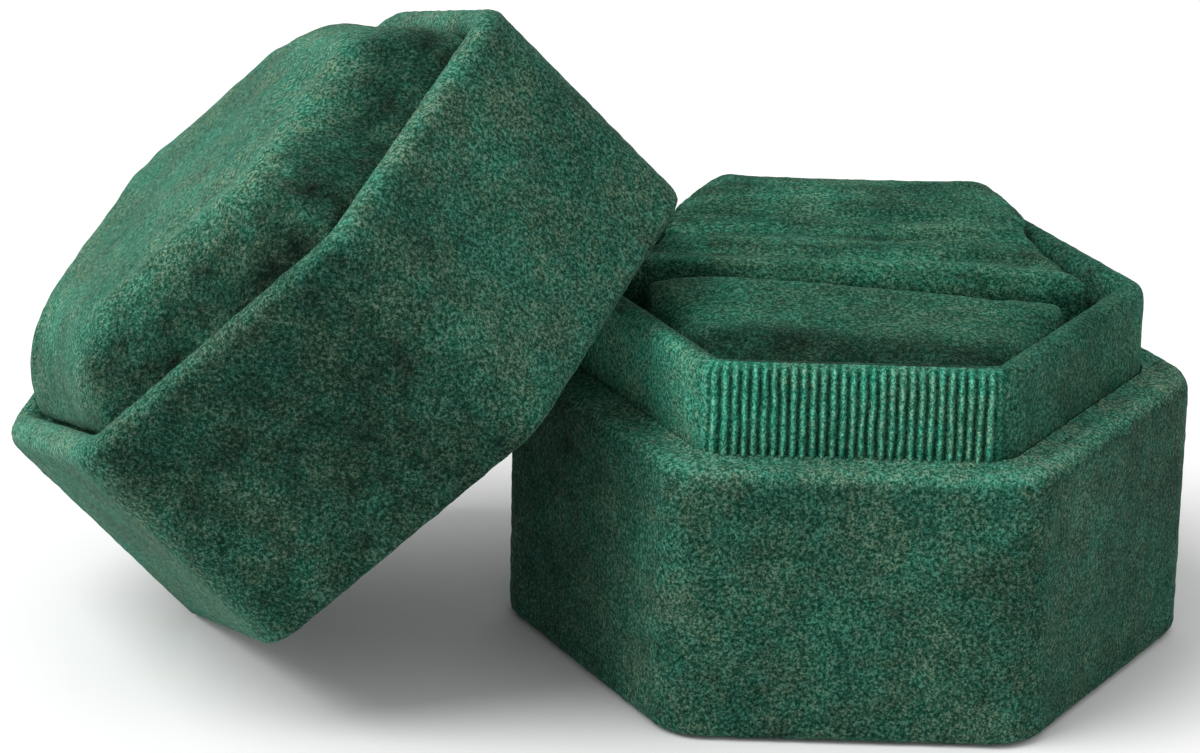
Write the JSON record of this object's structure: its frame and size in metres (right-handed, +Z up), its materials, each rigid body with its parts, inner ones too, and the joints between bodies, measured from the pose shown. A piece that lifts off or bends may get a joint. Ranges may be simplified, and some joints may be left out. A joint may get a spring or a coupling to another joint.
{
  "type": "ring box",
  "caption": "Hexagonal velvet ring box, open: base with raised collar and a slotted two-pad ring cushion, with its pillow-topped lift-off lid leaning on one corner.",
  "frame": {"origin": "centre of the base's underside, on the surface that the box stands on", "axes": "+Z up; the front of the base, with the corded panel, faces -Y; the lid leans on the -X side"},
  "size_m": [0.1018, 0.0566, 0.0567],
  "materials": {
    "velvet": "dark green cut-pile velvet, soft sheen at grazing angles",
    "corded_velvet": "green velvet in upright cords about 0.8 mm apart",
    "lining": "thin dark green velvet lining",
    "greyboard": null,
    "foam": null,
    "felt": "dark pressed felt"
  },
  "bodies": {
    "base": {"base_outer_wrap": "velvet", "base_wall_board": "greyboard", "base_spacer_strip": "greyboard", "base_floor_board": "greyboard", "base_foot_pad": "felt", "collar_wrap": "velvet", "collar_board": "greyboard", "collar_ribbed_panel": "corded_velvet", "insert_card": "greyboard", "insert_foam": "foam", "well_floor_velvet": "velvet"},
    "front_pad": {"front_pad_cover": "velvet", "front_pad_foam": "foam"},
    "rear_pad": {"rear_pad_cover": "velvet", "rear_pad_foam": "foam"},
    "lid": {"lid_outer_wrap": "velvet", "lid_wall_board": "greyboard", "lid_lining": "lining", "lid_top_board": "greyboard", "lid_pillow_card": "greyboard", "lid_pillow_cover": "velvet", "lid_pillow_foam": "foam", "lid_ceiling_board": "greyboard", "lid_ceiling_pad": "lining"}
  },
  "joints": [
    {"name": "lid_lift", "type": "slide", "parent": "base", "child": "lid", "axis": [-0.6956, -0.0219, 0.7181], "range_m": [0, 0.05]},
    {"name": "front_pad_give", "type": "slide", "parent": "base", "child": "front_pad", "axis": [0, -1, 0], "range_m": [0, 0.0012], "stiffness_N_per_m": 300},
    {"name": "rear_pad_give", "type": "slide", "parent": "base", "child": "rear_pad", "axis": [0, 1, 0], "range_m": [0, 0.0012], "stiffness_N_per_m": 300}
  ],
  "couplings": [
    {"joint": "rear_pad_give", "follows": "front_pad_give", "ratio": 1}
  ]
}
